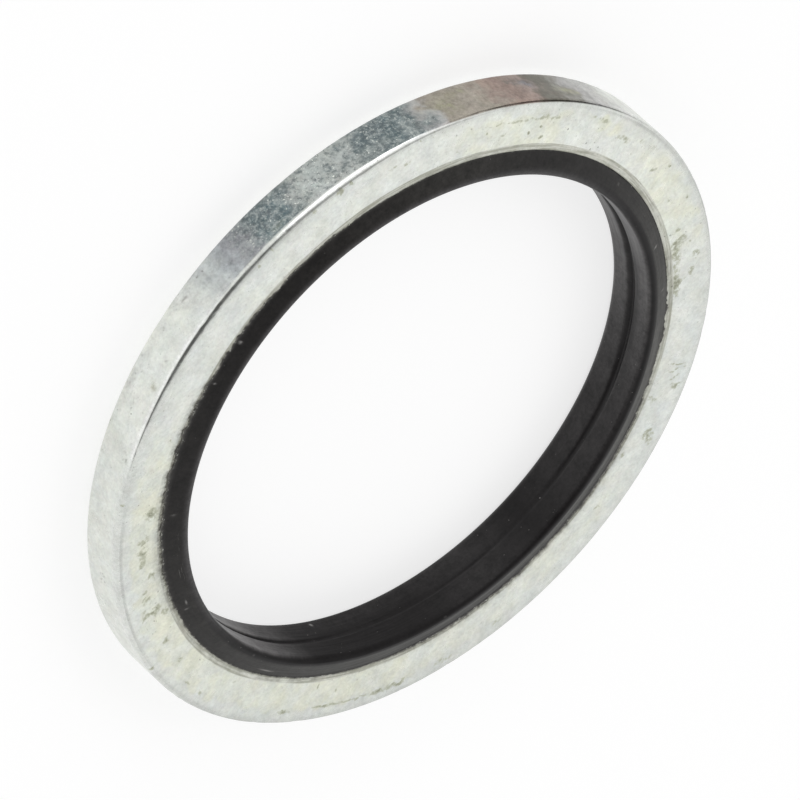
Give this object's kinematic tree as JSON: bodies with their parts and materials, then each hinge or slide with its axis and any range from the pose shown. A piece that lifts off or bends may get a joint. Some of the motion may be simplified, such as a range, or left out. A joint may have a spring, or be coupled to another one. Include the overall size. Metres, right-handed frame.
{
  "type": "bonded sealing washer",
  "caption": "Bonded sealing washer: a flat zinc-plated steel ring with a black rubber seal moulded into its bore, for a 3/4 inch pipe thread.",
  "frame": {"origin": "centre of the circle on which the lower rubber lip rests, at the washer's lowest point", "axes": "+Z along the washer's axis, out of the face with the rounded (die-rolled) outer edge; X and Y in its plane"},
  "size_m": [0.035, 0.035, 0.0032],
  "materials": {
    "ring": "zinc-plated, pale satin with a faint yellow-green tint",
    "seal": "moulded, black satin"
  },
  "bodies": {
    "root": {"steel_ring": "ring", "rubber_seal": "seal"}
  },
  "joints": []
}
